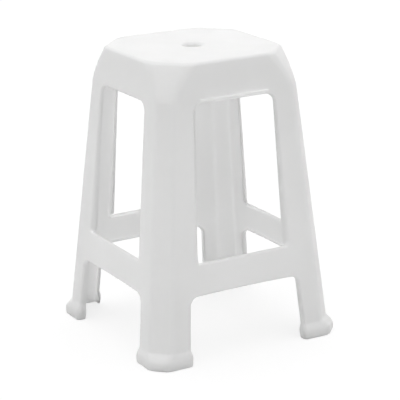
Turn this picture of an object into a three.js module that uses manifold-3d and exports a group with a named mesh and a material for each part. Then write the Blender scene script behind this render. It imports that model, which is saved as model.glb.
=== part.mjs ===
// Stacking stool, moulded in one go from white plastic. Its solids are the named
// regions of that moulding: seat panel, aprons, corner legs, footrest rails, feet,
// and the collar and ribs under the seat. Millimetres, +Z up, origin on the floor
// below the centre of the seat. The front is the -Y side.
import * as THREE from 'three';
import { mergeVertices } from 'three/addons/utils/BufferGeometryUtils.js';
import Module from 'manifold-3d';

// Overall form
const stoolHeight = 450;
const seatHalfWidth = 116.5;
const floorHalfWidth = 161;
const seatCornerCut = 48;
const shoulderCornerCut = 18.8;
const floorCornerCut = 25.6;
const shoulderDepth = 65;
const uprightEdgeSetback = 8;
const seatRimRadius = 5;

// Walls
const wall = 3;
const seatThickness = 3.5;
const capDepth = 10;

// Opening between seat and footrest rail, half widths at its two ends
const apronDepth = 61;
const windowTopHalfWidth = 68.5;
const windowBottomHalfWidth = 75.7;
const windowTopRadius = 13;
const windowBottomRadius = 6;

// Footrest rail and the gap below it
const railTop = 152.5;
const railHeight = 50;
const railArchRise = 1;
const gapTopHalfWidth = 94;
const gapFloorHalfWidth = 102;
const gapTopRadius = 12;

// Each leg's two edges curl inwards: how round the curl is and how deep its lip reaches
const curlTop = { radius: 3.5, depth: 4.2 };
const curlBottom = { radius: 10, depth: 10.5 };
const curlGap = { radius: 3, depth: 10 };
const curlEndRadius = 0.5;
const curlRunIn = 18;

// Bead along the lower edge of the front and back aprons
const beadHalfLength = 61;
const beadHeight = 4.5;
const beadRelief = 1.2;

// Foot
const footHeight = 26;
const footBulgeHeight = 8;
const footSideFlare = 6.5;
const footCornerFlare = 11.5;
const footToeShare = 0.7;

// Finger hole, its collar and the ribs below the seat
const holeRadius = 13;
const holeRimRadius = 2;
const collarWall = 2.5;
const collarDepth = 11;
const ribThickness = 2;
const ribInnerDepth = 10;
const ribOuterDepth = 6;

// Fits and cuts
const blendMargin = 2;
const seatingGap = 0.3;
const overrun = 20;

// Counts and shape numbers
const ribCount = 8;
const shoulderSweepPower = 1.3;
const edgeRoomShare = 0.4;
const shoulderSteps = 7;
const edgeSteps = 4;
const rimSteps = 3;
const flareSteps = 5;
const holeSegments = 36;

const railBottom = railTop - railHeight;
const apronBottom = stoolHeight - apronDepth;
const shoulderStart = stoolHeight - shoulderDepth;
const capBottom = stoolHeight - capDepth;
const ceiling = stoolHeight - seatThickness;
const apronHalfSpan = windowTopHalfWidth - windowTopRadius - blendMargin;
const railHalfSpan = windowBottomHalfWidth - windowBottomRadius - blendMargin;
const reach = floorHalfWidth + footCornerFlare + overrun;

const wasm = await Module();
wasm.setup();

const whitePlastic = { color: '#f3f3f1', roughness: 0.42, metalness: 0 };

// Solid tools

function toSolid(geometry) {
  const bare = geometry.index ? geometry.toNonIndexed() : geometry.clone();
  bare.deleteAttribute('normal');
  bare.deleteAttribute('uv');
  const merged = mergeVertices(bare);
  return new wasm.Manifold(new wasm.Mesh({
    numProp: 3,
    vertProperties: Float32Array.from(merged.attributes.position.array),
    triVerts: Uint32Array.from(merged.index.array),
  }));
}

function toGeometry(solid) {
  const mesh = solid.getMesh();
  const geometry = new THREE.BufferGeometry();
  geometry.setAttribute('position', new THREE.BufferAttribute(mesh.vertProperties, mesh.numProp));
  geometry.setIndex(new THREE.BufferAttribute(mesh.triVerts, 1));
  geometry.computeVertexNormals();
  return geometry;
}

// A box given by its two opposite corners
function boxBetween(low, high) {
  const box = new THREE.Box3(low, high);
  const size = box.getSize(new THREE.Vector3());
  const centre = box.getCenter(new THREE.Vector3());
  const geometry = new THREE.BoxGeometry(size.x, size.y, size.z);
  return toSolid(geometry.translate(centre.x, centre.y, centre.z));
}

// A solid through a stack of outlines, each { z, points }, with flat ends
function loft(sections) {
  const count = sections[0].points.length;
  const positions = sections.flatMap(({ z, points }) => points.flatMap(({ x, y }) => [x, y, z]));
  const faces = [];
  for (let row = 1; row < sections.length; row += 1) {
    for (let column = 0; column < count; column += 1) {
      const next = (column + 1) % count;
      const below = (row - 1) * count;
      const above = row * count;
      faces.push(below + column, below + next, above + next);
      faces.push(below + column, above + next, above + column);
    }
  }
  const last = (sections.length - 1) * count;
  for (const [a, b, c] of THREE.ShapeUtils.triangulateShape(sections[0].points, [])) {
    faces.push(a, c, b);
  }
  for (const [a, b, c] of THREE.ShapeUtils.triangulateShape(sections.at(-1).points, [])) {
    faces.push(last + a, last + b, last + c);
  }
  const geometry = new THREE.BufferGeometry();
  geometry.setAttribute('position', new THREE.Float32BufferAttribute(positions, 3));
  geometry.setIndex(faces);
  return toSolid(geometry);
}

// An upright outline in X and Z, extruded along Y from near to far
function extrudeAlongY(shape, near, far) {
  const geometry = new THREE.ExtrudeGeometry(shape, {
    depth: far - near,
    bevelEnabled: false,
    curveSegments: edgeSteps + edgeSteps,
  });
  geometry.rotateX(Math.PI / 2);
  return toSolid(geometry.translate(0, far, 0));
}

// The outside form of the stool

const mix = THREE.MathUtils.lerp;

function sideReach(z) {
  return mix(floorHalfWidth, seatHalfWidth, z / stoolHeight);
}

// What the facet cuts off each side: even up the leg, then sweeping in at the shoulder
function cornerCut(z) {
  const legCut = mix(floorCornerCut, shoulderCornerCut, z / shoulderStart);
  const topCut = mix(floorCornerCut, shoulderCornerCut, stoolHeight / shoulderStart);
  const rise = Math.max(0, (z - shoulderStart) / shoulderDepth);
  return legCut + (seatCornerCut - topCut) * rise ** shoulderSweepPower;
}

// A square with cut-off corners, its eight upright edges softened, the sides and
// the corner facets each moved out by an offset of their own
function outline(z, offset, cornerOffset) {
  const side = sideReach(z) + offset;
  const flat = sideReach(z) - cornerCut(z) + cornerOffset * Math.SQRT2 - offset;
  const corners = [
    [side, -flat], [side, flat], [flat, side], [-flat, side],
    [-side, flat], [-side, -flat], [-flat, -side], [flat, -side],
  ].map(([x, y]) => new THREE.Vector2(x, y));
  return corners.flatMap((corner, index) => {
    const before = corners.at(index - 1);
    const after = corners[(index + 1) % corners.length];
    const shorter = Math.min(corner.distanceTo(before), corner.distanceTo(after));
    const setback = Math.min(uprightEdgeSetback, shorter * edgeRoomShare);
    const start = before.clone().sub(corner).setLength(setback).add(corner);
    const end = after.clone().sub(corner).setLength(setback).add(corner);
    return new THREE.QuadraticBezierCurve(start, corner, end).getPoints(edgeSteps);
  });
}

function section(z, offset) {
  return { z, points: outline(z, offset, offset) };
}

// A level of the foot, flared by a share of its full flare and drawn in by inset
function footSection(z, share, inset) {
  return { z, points: outline(z, footSideFlare * share - inset, footCornerFlare * share - inset) };
}

// Heights and flare shares of the foot, from its bulge up to the crease at its top
function flareProfile() {
  return Array.from({ length: flareSteps + 1 }, (_, step) => {
    const rise = step / flareSteps;
    return { z: mix(footBulgeHeight, footHeight, rise), share: 1 - rise * rise };
  });
}

function shoulderHeights(top) {
  return Array.from({ length: shoulderSteps + 1 }, (_, step) => (
    mix(shoulderStart, top, step / shoulderSteps)
  ));
}

// The quarter round at the top edge, drawn in by radius at height top
function rimSections(top, radius, offset) {
  return Array.from({ length: rimSteps }, (_, step) => {
    const angle = ((step + 1) / rimSteps) * (Math.PI / 2);
    const drawnIn = radius * (1 - Math.cos(angle));
    return section(top - radius * (1 - Math.sin(angle)), offset - drawnIn);
  });
}

function bodySolid() {
  return loft([
    footSection(0, footToeShare, 0),
    ...flareProfile().map(({ z, share }) => footSection(z, share, 0)),
    ...shoulderHeights(stoolHeight - seatRimRadius).map((z) => section(z, 0)),
    ...rimSections(stoolHeight, seatRimRadius, 0),
  ]);
}

// The hollow inside: the body drawn in by the wall, open at the floor
function hollowSolid(inset) {
  const innerRadius = Math.max(seatRimRadius - wall, seatingGap);
  return loft([
    footSection(-overrun, footToeShare, inset),
    footSection(0, footToeShare, inset),
    ...flareProfile().map(({ z, share }) => footSection(z - wall, share, inset)),
    ...shoulderHeights(ceiling - innerRadius).map((z) => section(z, -inset)),
    ...rimSections(ceiling, innerRadius, -inset),
  ]);
}

// Openings in the sides

function windowSide(z) {
  return mix(windowBottomHalfWidth, windowTopHalfWidth, (z - railTop) / (apronBottom - railTop));
}

function gapSide(z) {
  return mix(gapFloorHalfWidth, gapTopHalfWidth, z / railBottom);
}

// The window between apron and rail
function windowShape() {
  return roundedShape([
    { x: -windowBottomHalfWidth, y: railTop, radius: windowBottomRadius },
    { x: windowBottomHalfWidth, y: railTop, radius: windowBottomRadius },
    { x: windowTopHalfWidth, y: apronBottom, radius: windowTopRadius },
    { x: -windowTopHalfWidth, y: apronBottom, radius: windowTopRadius },
  ]);
}

// A closed shape through corners, each cut back by its own radius
function roundedShape(corners) {
  const shape = new THREE.Shape();
  corners.forEach(({ x, y, radius }, index) => {
    const corner = new THREE.Vector2(x, y);
    const before = corners.at(index - 1);
    const after = corners[(index + 1) % corners.length];
    const start = new THREE.Vector2(before.x, before.y).sub(corner).setLength(radius).add(corner);
    const end = new THREE.Vector2(after.x, after.y).sub(corner).setLength(radius).add(corner);
    if (index === 0) {
      shape.moveTo(start.x, start.y);
    } else {
      shape.lineTo(start.x, start.y);
    }
    shape.quadraticCurveTo(x, y, end.x, end.y);
  });
  shape.closePath();
  return shape;
}

// The gap between two legs, from below the floor to the rail's arched lower edge
function gapShape() {
  const low = gapSide(-overrun);
  const blendLow = railBottom - gapTopRadius;
  const blendSide = gapSide(blendLow);
  const archSide = gapTopHalfWidth - gapTopRadius;
  const archControl = railBottom + railArchRise + railArchRise;
  const shape = new THREE.Shape();
  shape.moveTo(-low, -overrun);
  shape.lineTo(low, -overrun);
  shape.lineTo(blendSide, blendLow);
  shape.quadraticCurveTo(gapTopHalfWidth, railBottom, archSide, railBottom);
  shape.quadraticCurveTo(0, archControl, -archSide, railBottom);
  shape.quadraticCurveTo(-gapTopHalfWidth, railBottom, -blendSide, blendLow);
  shape.closePath();
  return shape;
}

function throughBothWays(shape) {
  const alongY = extrudeAlongY(shape, -reach, reach);
  return alongY.add(alongY.rotate([0, 0, 90]));
}

// Levels of the curled edges: beside the window they open out downwards
const windowCurls = [
  { z: railTop, share: 0, radius: curlEndRadius, depth: curlBottom.depth },
  { z: railTop + curlRunIn, share: 0, radius: curlBottom.radius, depth: curlBottom.depth },
  { z: apronBottom - curlRunIn, share: 0, radius: curlTop.radius, depth: curlTop.depth },
  { z: apronBottom - windowTopRadius / 2, share: 0, radius: curlEndRadius, depth: curlTop.depth },
];
const gapCurls = [
  ...[{ z: -overrun, share: footToeShare }, { z: 0, share: footToeShare }, ...flareProfile()]
    .map((level) => ({ ...level, radius: curlGap.radius, depth: curlGap.depth })),
  { z: railBottom - gapTopRadius, share: 0, radius: curlEndRadius, depth: curlGap.depth },
];

// The lip of the front face's right hand edge, filled out behind its rounding
function lipSection({ z, share, radius, depth }, sideAt) {
  const x = sideAt(z);
  const y = -sideReach(z) - footSideFlare * share;
  const inner = Math.max(radius - wall, curlEndRadius);
  const bend = new THREE.EllipseCurve(
    x + wall + inner, y + wall + inner, inner, inner, -Math.PI / 2, -Math.PI, true,
  );
  return {
    z,
    points: [
      new THREE.Vector2(x - wall, y),
      new THREE.Vector2(x + wall + inner, y),
      ...bend.getPoints(edgeSteps),
      new THREE.Vector2(x + wall, depth - sideReach(z)),
      new THREE.Vector2(x - wall, depth - sideReach(z)),
    ],
  };
}

// What the rounding takes off the same edge
function roundSection({ z, share, radius }, sideAt) {
  const x = sideAt(z);
  const y = -sideReach(z) - footSideFlare * share;
  const bend = new THREE.EllipseCurve(
    x + radius, y + radius, radius, radius, -Math.PI / 2, -Math.PI, true,
  );
  return {
    z,
    points: [
      new THREE.Vector2(x - wall, y - wall),
      new THREE.Vector2(x + radius, y - wall),
      ...bend.getPoints(edgeSteps),
      new THREE.Vector2(x - wall, y + radius),
    ],
  };
}

// One edge's solid, repeated at both edges of all four sides
function atEveryEdge(edge) {
  const both = edge.add(edge.mirror([1, 0, 0]));
  const facing = both.add(both.rotate([0, 0, 180]));
  return facing.add(facing.rotate([0, 0, 90]));
}

function curlSolids(drawSection) {
  return atEveryEdge(loft(windowCurls.map((level) => drawSection(level, windowSide))))
    .add(atEveryEdge(loft(gapCurls.map((level) => drawSection(level, gapSide)))));
}

// The bead stands proud of the front and back faces and ends in half rounds
function beads() {
  const radius = beadHeight / 2;
  const middle = apronBottom + radius;
  const centre = beadHalfLength - radius;
  const shape = new THREE.Shape();
  shape.absarc(centre, middle, radius, -Math.PI / 2, Math.PI / 2);
  shape.absarc(-centre, middle, radius, Math.PI / 2, -Math.PI / 2);
  shape.closePath();
  const bulge = loft([
    section(apronBottom - overrun, beadRelief),
    section(stoolHeight - overrun, beadRelief),
  ]);
  return extrudeAlongY(shape, -reach, reach).intersect(bulge);
}

// The hole through the seat, flared to a rounded rim at the top
function fingerHole() {
  const rimLow = stoolHeight - holeRimRadius;
  const rimOut = holeRadius + holeRimRadius;
  const profile = [
    new THREE.Vector2(0, stoolHeight - overrun),
    new THREE.Vector2(holeRadius, stoolHeight - overrun),
  ];
  for (let step = 0; step <= edgeSteps; step += 1) {
    const angle = (step / edgeSteps) * (Math.PI / 2);
    profile.push(new THREE.Vector2(
      rimOut - holeRimRadius * Math.cos(angle),
      rimLow + holeRimRadius * Math.sin(angle),
    ));
  }
  profile.push(new THREE.Vector2(rimOut, stoolHeight + overrun));
  profile.push(new THREE.Vector2(0, stoolHeight + overrun));
  return toSolid(new THREE.LatheGeometry(profile, holeSegments).rotateX(Math.PI / 2));
}

// The whole moulding, before it is parted into regions
const shell = bodySolid()
  .add(beads())
  .subtract(hollowSolid(wall).subtract(curlSolids(lipSection)))
  .subtract(throughBothWays(windowShape()))
  .subtract(throughBothWays(gapShape()))
  .subtract(curlSolids(roundSection))
  .subtract(fingerHole());

// Regions of the front side and of the front right corner
const apronRegion = boxBetween(
  new THREE.Vector3(-apronHalfSpan, -reach, apronBottom - overrun),
  new THREE.Vector3(apronHalfSpan, 0, capBottom),
);
const railRegion = boxBetween(
  new THREE.Vector3(-railHalfSpan, -reach, railBottom - overrun),
  new THREE.Vector3(railHalfSpan, 0, railTop + overrun),
);
const legRegion = boxBetween(
  new THREE.Vector3(0, -reach, footHeight),
  new THREE.Vector3(reach, 0, capBottom),
);
const footRegion = boxBetween(
  new THREE.Vector3(0, -reach, -overrun),
  new THREE.Vector3(reach, 0, footHeight),
);
const capRegion = boxBetween(
  new THREE.Vector3(-reach, -reach, capBottom),
  new THREE.Vector3(reach, reach, stoolHeight + overrun),
);
const spans = apronRegion.add(railRegion);
const cornerRegion = legRegion.subtract(spans).subtract(spans.rotate([0, 0, 90]));

// The collar hangs below the seat round the finger hole
function holeCollar() {
  const outerRadius = holeRadius + collarWall;
  const profile = [
    new THREE.Vector2(holeRadius, ceiling - collarDepth),
    new THREE.Vector2(outerRadius, ceiling - collarDepth),
    new THREE.Vector2(outerRadius, ceiling),
    new THREE.Vector2(holeRadius, ceiling),
    new THREE.Vector2(holeRadius, ceiling - collarDepth),
  ];
  return toSolid(new THREE.LatheGeometry(profile, holeSegments).rotateX(Math.PI / 2));
}

// A rib from the collar out to the wall, cut to the hollow with a seating gap
function seatRib(degrees) {
  const inner = holeRadius + collarWall + seatingGap;
  const shape = new THREE.Shape();
  shape.moveTo(inner, ceiling);
  shape.lineTo(inner, ceiling - ribInnerDepth);
  shape.lineTo(seatHalfWidth, ceiling - ribOuterDepth);
  shape.lineTo(reach, ceiling - ribOuterDepth);
  shape.lineTo(reach, ceiling);
  shape.closePath();
  const blank = extrudeAlongY(shape, -ribThickness / 2, ribThickness / 2);
  return blank.rotate([0, 0, degrees]).intersect(hollowSolid(wall + seatingGap));
}

// Scene graph
const stool = new THREE.Group();

function place(name, solid) {
  const mesh = new THREE.Mesh(toGeometry(solid), new THREE.MeshStandardMaterial(whitePlastic));
  mesh.name = name;
  stool.add(mesh);
}

// A region's share of the moulding, the region turned from the front to its side
function placeRegion(name, region, degrees) {
  place(name, shell.intersect(region.rotate([0, 0, degrees])));
}

const sides = ['front', 'right', 'back', 'left'];
const corners = ['front_right', 'back_right', 'back_left', 'front_left'];

placeRegion('seat_panel', capRegion, 0);
place('hole_collar', holeCollar());

sides.forEach((side, index) => {
  const degrees = (index / sides.length) * 360;
  placeRegion(`apron_${side}`, apronRegion, degrees);
  placeRegion(`footrest_rail_${side}`, railRegion, degrees);
});

corners.forEach((corner, index) => {
  const degrees = (index / corners.length) * 360;
  placeRegion(`corner_leg_${corner}`, cornerRegion, degrees);
  placeRegion(`foot_${corner}`, footRegion, degrees);
});

for (let index = 0; index < ribCount; index += 1) {
  place(`seat_rib_${index + 1}`, seatRib((index / ribCount) * 360));
}

export default stool;
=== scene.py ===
import math
import bmesh
import bpy
from mathutils import Matrix, Vector


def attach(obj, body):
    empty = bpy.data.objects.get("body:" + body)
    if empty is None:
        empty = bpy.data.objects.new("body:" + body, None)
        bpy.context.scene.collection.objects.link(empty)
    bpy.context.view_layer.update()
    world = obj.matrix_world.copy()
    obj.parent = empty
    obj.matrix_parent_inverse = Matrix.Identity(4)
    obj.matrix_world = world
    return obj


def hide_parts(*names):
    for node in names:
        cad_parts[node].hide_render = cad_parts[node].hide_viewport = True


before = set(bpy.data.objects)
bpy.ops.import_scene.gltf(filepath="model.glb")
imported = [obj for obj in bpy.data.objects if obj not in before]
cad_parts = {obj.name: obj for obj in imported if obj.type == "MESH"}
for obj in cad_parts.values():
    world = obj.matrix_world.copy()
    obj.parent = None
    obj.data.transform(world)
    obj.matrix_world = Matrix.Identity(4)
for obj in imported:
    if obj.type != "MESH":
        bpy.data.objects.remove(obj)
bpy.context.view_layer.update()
print("frame loaded,", len(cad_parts), "nodes")

mm = 0.001

# how closely a point has to lie to where it is looked for, in metres
slack = {
    "height": 1e-6, "weld": 1e-6, "point": 6e-6, "place": 1e-5, "row": 2e-5, "seat": 1e-4, "front": 3e-4,
}

# the moulding, in millimetres: a square with cut corners that leans in and turns over into the seat
mould = {
    "height": 450.0, "floorHalf": 161.0, "seatHalf": 117.0, "wall": 3.0,
    "floorCut": 25.6, "shoulderCut": 18.8, "seatCut": 48.0,  # off each corner
    "shoulderZ": 385.0, "shoulderSteps": 12, "sweep": 1.6,
    "edgeSetback": 5.5, "seatSetback": 13.0, "edgeSegments": 6,  # rounding of the upright edges
    "rimRadius": 5.0, "rimSegments": 5, "seatInset": 0.8,
    "sideFlare": 4.6, "cornerFlare": 10.8, "gapFlare": 3.6, "flareBias": 1.5, "flareSteps": 8,  # the feet
    "footTop": 25.0, "footBulgeZ": 8.0, "toeShare": 0.75, "toeSteps": 4,
    "holeRadius": 13.0, "holeRim": 7.0, "holeSegments": 6, "holePoints": 48, "collarDepth": 14.5,
    "rimEdge": 0.3, "edgeRounds": 3, "sharpAngle": 40.0, "normalWeight": 80,
}

# the openings in a side, as half widths at their two ends; their edges curl inwards by a radius to a depth
window = {
    "lowZ": 152.5, "lowHalf": 75.7, "lowCorner": 6.0, "lowCurl": 10.0, "lowDepth": 10.9,
    "topZ": 389.0, "topHalf": 68.5, "topCorner": 13.0, "topCurl": 3.8, "topDepth": 4.6,
}
gap = {
    "lowZ": 0.0, "lowHalf": 102.0, "lowCurl": 3.8, "lowDepth": 10.0,
    "topZ": 102.5, "topHalf": 94.0, "topCorner": 12.0, "topCurl": 3.8, "topDepth": 10.0,
    "archRise": 1.0, "archCuts": 3, "railEdge": 20.0,
}
curl = {
    "endRadius": 3.8, "endDepth": 4.5, "steps": 5, "start": 0.02, "leastLip": 0.2,
    "sideEdge": 30.0, "sideCuts": 8, "below": 0.01, "above": 2.0, "digits": 5,
}
bead = {
    "half": 60.0, "height": 3.4, "relief": 1.8, "taper": 3.0, "slope": 1.2,
    "search": 4.0, "fromMiddle": 100.0, "facing": 0.9, "margin": 0.1,
}

# each side's half next to each corner, where wide means the one that lies further out in x than in y
halves = [(sx, sy, wide) for sx in (-1, 1) for sy in (-1, 1) for wide in (True, False)]


def lerp(a, b, t):
    return a + (b - a) * t


def sideAt(z):
    return lerp(mould["floorHalf"], mould["seatHalf"], z / mould["height"])


def pastShoulder(z):  # 0 up to the shoulder, 1 at the seat
    return max(0.0, (z - mould["shoulderZ"]) / (mould["height"] - mould["shoulderZ"]))


def cutAt(z):
    leg = lerp(mould["floorCut"], mould["shoulderCut"], z / mould["shoulderZ"])
    top = lerp(mould["floorCut"], mould["shoulderCut"], mould["height"] / mould["shoulderZ"])
    return leg + (mould["seatCut"] - top) * pastShoulder(z) ** mould["sweep"]


def setbackAt(z):  # how far the upright edges are rounded back, more so towards the seat
    return lerp(mould["edgeSetback"], mould["seatSetback"], pastShoulder(z) ** 2)


def flareAt(z):  # share of the foot's full flare
    bulge = mould["footBulgeZ"]
    if z < bulge:
        return lerp(1.0, mould["toeShare"], (1 - z / bulge) ** 2)
    up = min(1.0, (z - bulge) / (mould["footTop"] - bulge))
    return (1 + math.cos(math.pi * up ** mould["flareBias"])) / 2


def flaredSide(z):
    return sideAt(z) + mould["sideFlare"] * flareAt(z)


def ringAt(z, sideOut, cornerOut):  # half width of the sides and half length of their flats
    side = sideAt(z)
    return side + sideOut, side - cutAt(z) + cornerOut * math.sqrt(2) - sideOut


def openingAt(opening, what, z):
    t = (z - opening["lowZ"]) / (opening["topZ"] - opening["lowZ"])
    return lerp(opening["low" + what], opening["top" + what], t)


def levels():  # height and the two offsets of every ring, from the toe to the flat of the seat
    bulge, end = mould["footBulgeZ"], curl["endRadius"]
    foot = [bulge * i / mould["toeSteps"] for i in range(mould["toeSteps"])]
    foot += [lerp(bulge, mould["footTop"], i / mould["flareSteps"]) for i in range(mould["flareSteps"] + 1)]
    rings = [(z, mould["sideFlare"] * flareAt(z), mould["cornerFlare"] * flareAt(z)) for z in foot]
    for z in (gap["topZ"] + end, window["lowZ"] - end, window["topZ"] + end):
        rings.append((z, 0.0, 0.0))
    start, low = rings[-1][0], mould["height"] - mould["rimRadius"]
    for i in range(1, mould["shoulderSteps"] + 1):
        rings.append((lerp(start, low, i / mould["shoulderSteps"]), 0.0, 0.0))
    for i in range(1, mould["rimSegments"] + 1):
        a = i / mould["rimSegments"] * math.pi / 2
        drawnIn = mould["rimRadius"] * (1 - math.cos(a))
        rings.append((low + mould["rimRadius"] * math.sin(a), -drawnIn, -drawnIn))
    return rings


def deselectObjects():
    if bpy.context.object and bpy.context.object.mode != "OBJECT":
        bpy.ops.object.mode_set(mode="OBJECT")
    bpy.ops.object.select_all(action="DESELECT")


def applyModifier(piece, kind, **settings):
    deselectObjects()
    piece.select_set(True)
    bpy.context.view_layer.objects.active = piece
    modifier = piece.modifiers.new(kind.lower(), kind)
    for key, value in settings.items():
        setattr(modifier, key, value)
    bpy.ops.object.modifier_apply(modifier=modifier.name)


def pick(piece, kind, test):  # selects only the vertices, edges or faces that pass the test
    mesh = bmesh.from_edit_mesh(piece.data)
    for each in (mesh.verts, mesh.edges, mesh.faces):
        for e in each:
            e.select = False
    for e in getattr(mesh, kind):
        if test(e):
            e.select_set(True)
    bpy.context.tool_settings.mesh_select_mode = (kind == "verts", kind == "edges", kind == "faces")
    bmesh.update_edit_mesh(piece.data)


def near(a, b, within=slack["place"]):
    return abs(a - b) < within


def atHeight(v, z):
    return near(v.co.z, z * mm, slack["height"])


def middle(e):
    return sum((v.co for v in e.verts), Vector()) / len(e.verts)


def inHalf(v, sx, sy, wide, margin=0.0):
    return v.co.x * sx > margin and v.co.y * sy > margin and (abs(v.co.x) > abs(v.co.y)) == wide


def onFront(e):  # whether an edge or face lies in the flat of the front side
    return all(near(v.co.y, -flaredSide(v.co.z / mm) * mm, slack["front"]) for v in e.verts)


def roundCorners(offset, segments):
    bpy.ops.mesh.bevel(affect="VERTICES", offset=offset * mm, segments=segments, clamp_overlap=False)


def extrudeEdges(move):
    bpy.ops.mesh.extrude_edges_move(TRANSFORM_OT_translate={"value": move})


def widen(share, centre=(0, 0, 0)):
    bpy.ops.transform.resize(value=(share, share, 1), center_override=centre)


def buildRings():  # the outer skin, ring by ring from the floor up
    rings = levels()
    z, sideOut, cornerOut = rings[0]
    side, flat = ringAt(z, sideOut, cornerOut)
    deselectObjects()
    bpy.ops.mesh.primitive_plane_add(size=2 * side * mm, location=(0, 0, z * mm))
    piece = bpy.context.object
    piece.name = "stool_moulding"
    bpy.ops.object.mode_set(mode="EDIT")
    for offset, segments in ((side - flat, 1), (mould["edgeSetback"], mould["edgeSegments"])):
        bpy.ops.mesh.select_all(action="SELECT")
        roundCorners(offset, segments)
    bpy.ops.mesh.select_all(action="SELECT")
    bpy.ops.mesh.delete(type="ONLY_FACE")
    for nextZ, sideOut, cornerOut in rings[1:]:
        nextSide, nextFlat = ringAt(nextZ, sideOut, cornerOut)
        pick(piece, "verts", lambda v: atHeight(v, z))
        bmesh.from_edit_mesh(piece.data).select_flush(True)
        bpy.context.tool_settings.mesh_select_mode = (False, True, False)
        extrudeEdges((0, 0, (nextZ - z) * mm))
        bpy.context.tool_settings.mesh_select_mode = (True, False, False)
        sideMove, flatMove = (nextSide - side) * mm, (nextFlat - flat) * mm
        spread = setbackAt(nextZ) / setbackAt(z)
        for sx, sy, wide in halves:
            pick(piece, "verts", lambda v: atHeight(v, nextZ) and inHalf(v, sx, sy, wide))
            x, y = (sideMove, flatMove) if wide else (flatMove, sideMove)
            bpy.ops.transform.translate(value=(sx * x, sy * y, 0))
            if spread > 1:
                x, y = (nextSide, nextFlat) if wide else (nextFlat, nextSide)
                widen(spread, Vector((sx * x, sy * y, nextZ)) * mm)
        z, side, flat = nextZ, nextSide, nextFlat
    return piece


def keepEighth(piece):  # from the middle of the front to the middle of its right corner
    bpy.ops.mesh.select_all(action="SELECT")
    bpy.ops.mesh.bisect(plane_co=(0, 0, 0), plane_no=(1, 0, 0), clear_inner=True)
    bpy.ops.mesh.select_all(action="SELECT")
    bpy.ops.mesh.bisect(plane_co=(0, 0, 0), plane_no=(1, 1, 0), clear_outer=True)


def cutOpening(piece, opening, lowZ, topZ, corners):  # as wide as the opening and its curl together
    lowHalf, topHalf = (openingAt(opening, "Half", z) + openingAt(opening, "Curl", z) for z in (lowZ, topZ))
    between = lambda f: onFront(f) and lowZ * mm < middle(f).z < topZ * mm
    pick(piece, "faces", between)
    bpy.ops.mesh.bisect(plane_co=Vector((lowHalf, 0, lowZ)) * mm,
                        plane_no=Vector((topZ - lowZ, 0, lowHalf - topHalf)).normalized())
    for z, radius in corners:
        x = lerp(lowHalf, topHalf, (z - lowZ) / (topZ - lowZ))
        pick(piece, "verts", lambda v: near(v.co.z, z * mm) and near(v.co.x, x * mm, slack["row"]))
        roundCorners(radius, mould["edgeSegments"])
    pick(piece, "faces", lambda f: between(f) and any(near(v.co.x, 0) for v in f.verts))
    bpy.ops.mesh.delete(type="FACE")


def planCurl(opening, z):  # how far a point of the wall's edge moves in all, its depth and its radius
    held = max(opening["lowZ"], min(opening["topZ"], z))
    radius, depth = openingAt(opening, "Curl", held), openingAt(opening, "Depth", held)
    end = curl["endRadius"]
    if opening is gap or z > (opening["lowZ"] + opening["topZ"]) / 2:
        fromEnd, way, corner = opening["topZ"] + end - z, -1, opening["topCorner"] + end
    else:
        fromEnd, way, corner = z - opening["lowZ"] + end, 1, opening["lowCorner"] + end
    a = math.asin(max(0.0, min(1.0, 1 - fromEnd / corner)))  # from along the side to along the end
    share = math.sin(a) ** 2
    if opening is gap:
        radius += mould["gapFlare"] * flareAt(z)
    move = Vector((-radius * math.cos(a), 0, end * math.sin(a) * way)) * mm
    return move, lerp(depth, curl["endDepth"], share * (2 - share)), lerp(radius, end, share)


def curlEdges(piece, opening, lowZ, topZ):  # row by row through a quarter turn, then straight in
    def onPlane(e):  # where the piece is cut for mirroring, and on the floor
        return all(near(v.co.x, 0) for v in e.verts) or all(near(v.co.z, 0) for v in e.verts)

    def onWall(e):
        low, top = (lowZ - curl["below"]) * mm, (topZ + curl["above"]) * mm
        return e.is_boundary and onFront(e) and low < middle(e).z < top and not onPlane(e)

    def rounded(co):
        return tuple(round(c, curl["digits"]) for c in co)

    tall = curl["sideEdge"] * mm
    pick(piece, "edges", lambda e: onWall(e) and abs(e.verts[0].co.z - e.verts[1].co.z) > tall)
    bpy.ops.mesh.subdivide(number_cuts=curl["sideCuts"])
    pick(piece, "edges", onWall)
    starts = [v.co.copy() for v in bmesh.from_edit_mesh(piece.data).verts if v.select]
    plans = [planCurl(opening, co.z / mm) for co in starts]
    here = [co.copy() for co in starts]
    small = Vector((0, curl["start"], 0)) * mm
    for step in range(1, curl["steps"] + 2):
        extrudeEdges(small)
        a = min(1.0, step / curl["steps"]) * math.pi / 2
        row = []
        for start, last, (move, depth, radius) in zip(starts, here, plans):
            target = start + move * math.sin(a)
            z = target.z / mm
            if step <= curl["steps"]:
                target.y = (-flaredSide(z) + radius * (1 - math.cos(a))) * mm
            else:
                target.y = (-sideAt(z) + max(depth, radius + curl["leastLip"])) * mm
            old = last + small
            pick(piece, "verts", lambda v: (v.co - old).length < slack["point"])
            bpy.ops.transform.translate(value=target - old)
            row.append(target)
        here, places = row, {rounded(co) for co in row}
        pick(piece, "edges", lambda e: e.is_boundary and not onPlane(e)
             and all(rounded(v.co) in places for v in e.verts))


def archRail(piece):  # the rail's lower edge rises a little towards the middle
    z = gap["topZ"] + curl["endRadius"]
    half = gap["topHalf"] - gap["topCorner"]
    pick(piece, "edges", lambda e: e.is_boundary and near(middle(e).z, z * mm, slack["height"])
         and not near(middle(e).x, 0) and e.calc_length() > gap["railEdge"] * mm)
    bpy.ops.mesh.subdivide(number_cuts=gap["archCuts"])
    points = [v.co.x for v in bmesh.from_edit_mesh(piece.data).verts if atHeight(v, z) and v.co.x < half * mm]
    for x in sorted({round(x, curl["digits"]) for x in points}):
        pick(piece, "verts", lambda v: atHeight(v, z) and near(v.co.x, x, slack["row"]))
        bpy.ops.transform.translate(value=(0, 0, gap["archRise"] * (1 - (x / mm / half) ** 2) * mm))


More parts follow.
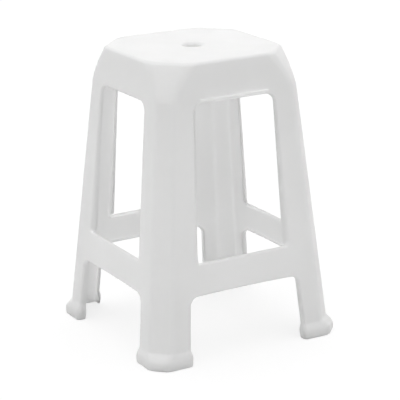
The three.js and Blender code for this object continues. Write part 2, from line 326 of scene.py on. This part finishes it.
def completeSides(piece):  # mirrored across the front's middle, then turned round to the other three sides
    applyModifier(piece, "MIRROR", use_axis=(True, False, False), merge_threshold=slack["row"])
    bpy.ops.object.mode_set(mode="EDIT")
    bpy.ops.mesh.select_all(action="SELECT")
    bpy.ops.mesh.spin(steps=3, dupli=True, angle=1.5 * math.pi, center=(0, 0, 0), axis=(0, 0, 1))
    bpy.ops.mesh.select_all(action="SELECT")
    bpy.ops.mesh.remove_doubles(threshold=slack["place"])


def closeSeat(piece):  # the flat of the seat, filled up to the finger hole, with the hole's rim and collar
    onTop = lambda e: all(atHeight(v, mould["height"]) for v in e.verts)
    pick(piece, "edges", lambda e: e.is_boundary and onTop(e))
    extrudeEdges((0, 0, 0))
    widen(mould["seatInset"])
    inner = (mould["seatHalf"] - mould["rimRadius"]) * mould["seatInset"] * mm + slack["seat"]
    for sx, sy, wide in halves:  # each rounded corner's points become one
        pick(piece, "verts", lambda v: atHeight(v, mould["height"]) and max(abs(v.co.x), abs(v.co.y)) < inner
             and inHalf(v, sx, sy, wide, slack["place"]))
        bpy.ops.mesh.merge(type="CENTER")
    radius, depth = mould["holeRadius"] + mould["holeRim"], 0.0
    bpy.ops.mesh.primitive_circle_add(vertices=mould["holePoints"], radius=radius * mm,
                                      location=(0, 0, mould["height"] * mm))
    pick(piece, "edges", lambda e: len(e.link_faces) < 2 and onTop(e))
    bpy.ops.mesh.fill(use_beauty=True)
    pick(piece, "edges", lambda e: e.is_boundary and onTop(e))
    for i in range(1, mould["holeSegments"] + 1):
        a = i / mould["holeSegments"] * math.pi / 2
        nextRadius = mould["holeRadius"] + mould["holeRim"] * (1 - math.sin(a))
        nextDepth = mould["holeRim"] * (1 - math.cos(a))
        extrudeEdges((0, 0, (depth - nextDepth) * mm))
        widen(nextRadius / radius)
        radius, depth = nextRadius, nextDepth
    extrudeEdges((0, 0, (depth - mould["collarDepth"]) * mm))


def raiseBead(piece, side):  # a low bead along the lower edge of the front's and the back's apron
    low = window["topZ"] + curl["endRadius"]

    def onApron(f, height):
        outer = middle(f).y * side > bead["fromMiddle"] * mm and f.normal.y * side > bead["facing"]
        return outer and low * mm < middle(f).z < (low + height) * mm

    pick(piece, "faces", lambda f: onApron(f, bead["search"]))
    bpy.ops.mesh.bisect(plane_co=(0, 0, (low + bead["height"]) * mm), plane_no=(0, 0, 1))
    for x in (-bead["half"], bead["half"]):
        pick(piece, "faces", lambda f: onApron(f, bead["search"]))
        bpy.ops.mesh.bisect(plane_co=(x * mm, 0, 0), plane_no=(1, 0, 0))
    reach = (bead["half"] + bead["margin"]) * mm
    pick(piece, "faces", lambda f: onApron(f, bead["height"]) and all(abs(v.co.x) < reach for v in f.verts))
    bpy.ops.mesh.extrude_region_move(TRANSFORM_OT_translate={"value": (0, side * bead["relief"] * mm, 0)})
    bpy.ops.transform.resize(value=(1 - bead["taper"] / bead["half"], 1, 1 - bead["slope"] / bead["height"]),
                             center_override=(0, side * sideAt(low) * mm, low * mm))


def finishMoulding(piece):  # the walls get their thickness, the bead is raised and all edges are softened
    bpy.ops.mesh.select_all(action="SELECT")
    bpy.ops.mesh.remove_doubles(threshold=slack["weld"])
    bpy.ops.mesh.normals_make_consistent(inside=False)
    bpy.ops.object.mode_set(mode="OBJECT")
    applyModifier(piece, "SOLIDIFY", thickness=mould["wall"] * mm, offset=-1, use_even_offset=True,
                  use_rim=True)
    bpy.ops.object.mode_set(mode="EDIT")
    for side in (-1, 1):
        raiseBead(piece, side)
    bpy.ops.object.mode_set(mode="OBJECT")
    applyModifier(piece, "BEVEL", width=mould["rimEdge"] * mm, segments=mould["edgeRounds"],
                  limit_method="ANGLE", angle_limit=math.radians(mould["sharpAngle"]),
                  use_clamp_overlap=False, miter_outer="MITER_ARC")
    bpy.ops.object.shade_smooth()
    applyModifier(piece, "WEIGHTED_NORMAL", mode="FACE_AREA", weight=mould["normalWeight"], keep_sharp=True)


def countMesh(piece):  # faces, and edges that don't join two of them, of which there should be none
    mesh = bmesh.new()
    mesh.from_mesh(piece.data)
    counts = len(mesh.faces), sum(1 for e in mesh.edges if len(e.link_faces) != 2)
    mesh.free()
    return counts


stool = buildRings()
keepEighth(stool)
print("outer skin built")

end = curl["endRadius"]
windowSpan = window["lowZ"] - end, window["topZ"] + end
gapSpan = gap["lowZ"], gap["topZ"] + end
cutOpening(stool, window, *windowSpan,
           ((windowSpan[1], window["topCorner"] + end), (windowSpan[0], window["lowCorner"] + end)))
cutOpening(stool, gap, *gapSpan, ((gapSpan[1], gap["topCorner"] + end),))
archRail(stool)
curlEdges(stool, window, *windowSpan)
curlEdges(stool, gap, *gapSpan)
print("openings cut and curled")

completeSides(stool)
closeSeat(stool)
finishMoulding(stool)
print("moulding finished, %d faces, %d open edges" % countMesh(stool))

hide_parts(*[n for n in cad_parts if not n.startswith("seat_rib")])
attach(stool, "root")

# the camera, where the photo was taken from: angles in degrees, distances in millimetres
shot = {
    "turn": -29.634, "rise": 17.127, "roll": -0.92, "distance": 2609.6, "aimHeight": 201.2, "slide": 7.4,
    "lens": 149.6, "sensor": 36.0, "clipEnd": 20000.0,
}


def placeCamera():
    turn, rise, roll = (math.radians(shot[angle]) for angle in ("turn", "rise", "roll"))
    back = Vector((math.sin(turn) * math.cos(rise), -math.cos(turn) * math.cos(rise), math.sin(rise)))
    right = Vector((math.cos(turn), math.sin(turn), 0))
    up = back.cross(right)
    rolledRight = right * math.cos(roll) + up * math.sin(roll)
    rolledUp = up * math.cos(roll) - right * math.sin(roll)
    place = Vector((0, 0, shot["aimHeight"])) + right * shot["slide"] + back * shot["distance"]
    bpy.ops.object.camera_add()
    camera = bpy.context.object
    camera.data.lens = shot["lens"]
    camera.data.sensor_width = shot["sensor"]
    camera.data.clip_end = shot["clipEnd"] * mm
    turned = Matrix((rolledRight, rolledUp, back)).transposed().to_4x4()
    camera.matrix_world = Matrix.Translation(place * mm) @ turned
    bpy.context.scene.camera = camera


placeCamera()
print("camera placed")


# shader maths: a socket that adds, subtracts and multiplies by adding Math nodes
class Wire:
    def __init__(self, tree, socket):
        self.tree, self.socket = tree, socket

    # any node: its settings first, then the values or links of its sockets
    def node(self, kind, settings=None, **values):
        made = self.tree.nodes.new(kind)
        for key, value in (settings or {}).items():
            setattr(made, key, value)
        for name, value in values.items():  # a socket goes by its name, or by n and its number
            numbered = name[0] == "n" and name[1:].isdigit()
            slot = made.inputs[int(name[1:])] if numbered else made.inputs[name.replace("_", " ")]
            if isinstance(value, Wire):
                self.tree.links.new(value.socket, slot)
            else:
                slot.default_value = value
        return made

    def wire(self, made, output=0):
        return Wire(self.tree, made.outputs[output])

    def maths(self, operation, a, b):
        return self.wire(self.node("ShaderNodeMath", {"operation": operation}, n0=a, n1=b))

    def __add__(self, other):
        return self.maths("ADD", self, other)

    def __radd__(self, other):
        return self.maths("ADD", other, self)

    def __sub__(self, other):
        return self.maths("SUBTRACT", self, other)

    def __rsub__(self, other):
        return self.maths("SUBTRACT", other, self)

    def __mul__(self, other):
        return self.maths("MULTIPLY", self, other)

    def __rmul__(self, other):
        return self.maths("MULTIPLY", other, self)

    def between(self, low, high):  # 0 below low, 1 above high, smooth in between
        smooth = {"interpolation_type": "SMOOTHSTEP"}
        return self.wire(self.node("ShaderNodeMapRange", smooth, Value=self, From_Min=low, From_Max=high))

    def noise(self, place, scale, detail, roughness=0.5):
        return self.wire(self.node("ShaderNodeTexNoise", None, Vector=place, Scale=scale,
                                   Detail=detail, Roughness=roughness))

    def stretched(self, place, stretch, turn):
        return self.wire(self.node("ShaderNodeMapping", None, Vector=place, Scale=stretch,
                                   Rotation=(0, 0, turn)))

    def mixed(self, factor, a, b):  # two colours
        return self.wire(self.node("ShaderNodeMix", {"data_type": "RGBA"}, Factor=factor, n6=a, n7=b), 2)


def startMaterial(name):
    material = bpy.data.materials.new(name)
    material.use_nodes = True
    material.node_tree.nodes.clear()
    return material, Wire(material.node_tree, None)


# the plastic: white and translucent with a satin skin, slightly uneven as a moulding is, lightly scuffed
# its patches are each a noise's scale, detail and roughness, and the two values that it fades between
skin = {
    "white": (0.785, 0.785, 0.783, 1), "cloudy": (0.76, 0.76, 0.757, 1), "toeDarkColour": (0.69, 0.685, 0.67, 1),
    "cloud": (9.0, 3.0, 0.5, 0.35, 0.7), "cloudTone": 0.6, "cloudRough": 0.4,
    "fine": (260.0, 3.0, 0.6, 0.4, 0.75), "fineTone": 0.15, "fineRough": 0.35,
    "rubbed": (24.0, 4.0, 0.6, 0.45, 0.7), "rubbedRough": 0.25,
    "scratchA": (1.0, 2.0, 0.5, 0.66, 0.74), "stretchA": (14, 900, 40), "turnA": 0.6,
    "scratchB": (1.0, 2.0, 0.5, 0.67, 0.75), "stretchB": (900, 17, 40), "turnB": 0.35,
    "seatZ": (0.4485, 0.4497), "sideScratch": 0.25, "scratchRough": 0.12, "scratchDepth": 0.00008,
    # how far up the feet the patchy darkening reaches, how strong it is, and how far it mixes towards its
    # colour
    "toeDarkTop": 0.02, "toeDarkShare": 0.8, "toeDarkTone": 0.55,
    "grainScale": 900.0, "grainDetail": 2.0, "grainDepth": 0.00005,
    "waveScale": 18.0, "waveDetail": 1.0, "waveDepth": 0.0012,
    "roughLow": 0.36, "roughHigh": 0.5, "ior": 1.49, "through": 1.0, "throughDepth": 0.0135,
}


def patches(start, place, kind):
    scale, detail, roughness, low, high = skin[kind]
    return start.noise(place, scale, detail, roughness).between(low, high)


def makePlastic():
    material, start = startMaterial("whitePlastic")
    at = start.wire(start.node("ShaderNodeTexCoord"), "Object")
    height = start.wire(start.node("ShaderNodeSeparateXYZ", None, Vector=at), "Z")
    cloud, fine, rubbed = (patches(start, at, kind) for kind in ("cloud", "fine", "rubbed"))
    scratchA = patches(start, start.stretched(at, skin["stretchA"], skin["turnA"]), "scratchA")
    scratchB = patches(start, start.stretched(at, skin["stretchB"], skin["turnB"]), "scratchB")
    seatTop = height.between(*skin["seatZ"])
    scratch = (scratchA + scratchB) * rubbed * (skin["sideScratch"] + (1 - skin["sideScratch"]) * seatTop)
    # the colour is darker, in patches, over the bottom 2 cm of the feet
    toeDarkening = (1 - height.between(0.0, skin["toeDarkTop"])) * rubbed * skin["toeDarkShare"]
    tone = start.mixed(cloud * skin["cloudTone"] + fine * skin["fineTone"], skin["white"], skin["cloudy"])
    tone = start.mixed(toeDarkening * skin["toeDarkTone"], tone, skin["toeDarkColour"])
    uneven = cloud * skin["cloudRough"] + fine * skin["fineRough"] + rubbed * skin["rubbedRough"]
    rough = skin["roughLow"] + (skin["roughHigh"] - skin["roughLow"]) * uneven
    rough = rough + scratch * skin["scratchRough"]
    grain = start.noise(at, skin["grainScale"], skin["grainDetail"]) * skin["grainDepth"]
    wave = start.noise(at, skin["waveScale"], skin["waveDetail"]) * skin["waveDepth"]
    lift = grain + wave - scratch * skin["scratchDepth"]
    bump = start.wire(start.node("ShaderNodeBump", None, Height=lift, Distance=1.0, Strength=1.0))
    shader = start.node("ShaderNodeBsdfPrincipled", {"subsurface_method": "BURLEY"},
                        Base_Color=tone, Roughness=rough, Normal=bump, IOR=skin["ior"],
                        Subsurface_Weight=skin["through"], Subsurface_Radius=(1, 1, 1),
                        Subsurface_Scale=skin["throughDepth"])
    start.node("ShaderNodeOutputMaterial", None, Surface=start.wire(shader))
    return material


plastic = makePlastic()
for piece in (stool, *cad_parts.values()):
    piece.data.materials.clear()
    piece.data.materials.append(plastic)
print("plastic made")

# the studio: a white floor and surround, soft light from above and all round, more of it from behind
studio = {
    "floorSize": 12.0, "floorShade": 0.78, "floorGlow": 1.21, "glowShare": 0.62,
    "worldLight": 0.582, "worldFall": (0.14, 0.41, 0.0),
    "topSun": 1.18, "topAngle": 75.0, "topHeight": 2.0,
}


def seenRays(start):  # 1 where the background is seen, also in a reflection, and 0 where it lights something
    path = start.node("ShaderNodeLightPath")
    rays = ("Camera", "Glossy", "Transmission")
    seen, mirrored, through = (start.wire(path, f"Is {kind} Ray") for kind in rays)
    return start.maths("MAXIMUM", seen, start.maths("MAXIMUM", mirrored, through))


def makeFloor():  # it can't be seen from below
    bpy.ops.mesh.primitive_plane_add(size=studio["floorSize"], location=(0, 0, 0))
    floor = bpy.context.object
    floor.name = "floor"
    material, start = startMaterial("studioFloor")
    paint = start.node("ShaderNodeBsdfDiffuse", None, Color=(studio["floorShade"],) * 3 + (1,))
    glow = start.node("ShaderNodeEmission", None, Color=(1, 1, 1, 1), Strength=studio["floorGlow"])
    both = start.node("ShaderNodeMixShader", None, Fac=seenRays(start) * studio["glowShare"],
                      n1=start.wire(paint), n2=start.wire(glow))
    clear = start.node("ShaderNodeBsdfTransparent")
    under = start.wire(start.node("ShaderNodeNewGeometry"), "Backfacing")
    final = start.node("ShaderNodeMixShader", None, Fac=under, n1=start.wire(both), n2=start.wire(clear))
    start.node("ShaderNodeOutputMaterial", None, Surface=start.wire(final))
    floor.data.materials.append(material)


def lightStudio():
    world = bpy.data.worlds.new("studio")
    bpy.context.scene.world = world
    world.use_nodes = True
    world.node_tree.nodes.clear()
    start = Wire(world.node_tree, None)
    toward = start.wire(start.node("ShaderNodeTexCoord"), "Generated")
    dot = {"operation": "DOT_PRODUCT"}
    fall = start.wire(start.node("ShaderNodeVectorMath", dot, n0=toward, n1=studio["worldFall"]), "Value")
    light = studio["worldLight"] * (1 + fall)
    strength = light + (1 - light) * seenRays(start)
    back = start.node("ShaderNodeBackground", None, Color=(1, 1, 1, 1), Strength=strength)
    start.node("ShaderNodeOutputWorld", None, Surface=start.wire(back))
    bpy.ops.object.light_add(type="SUN", location=(0, 0, studio["topHeight"]))
    sun = bpy.context.object
    sun.name = "softTop"
    sun.data.energy = studio["topSun"]
    sun.data.angle = math.radians(studio["topAngle"])


makeFloor()
lightStudio()
bpy.context.scene.view_settings.view_transform = "Standard"
print("studio lit")
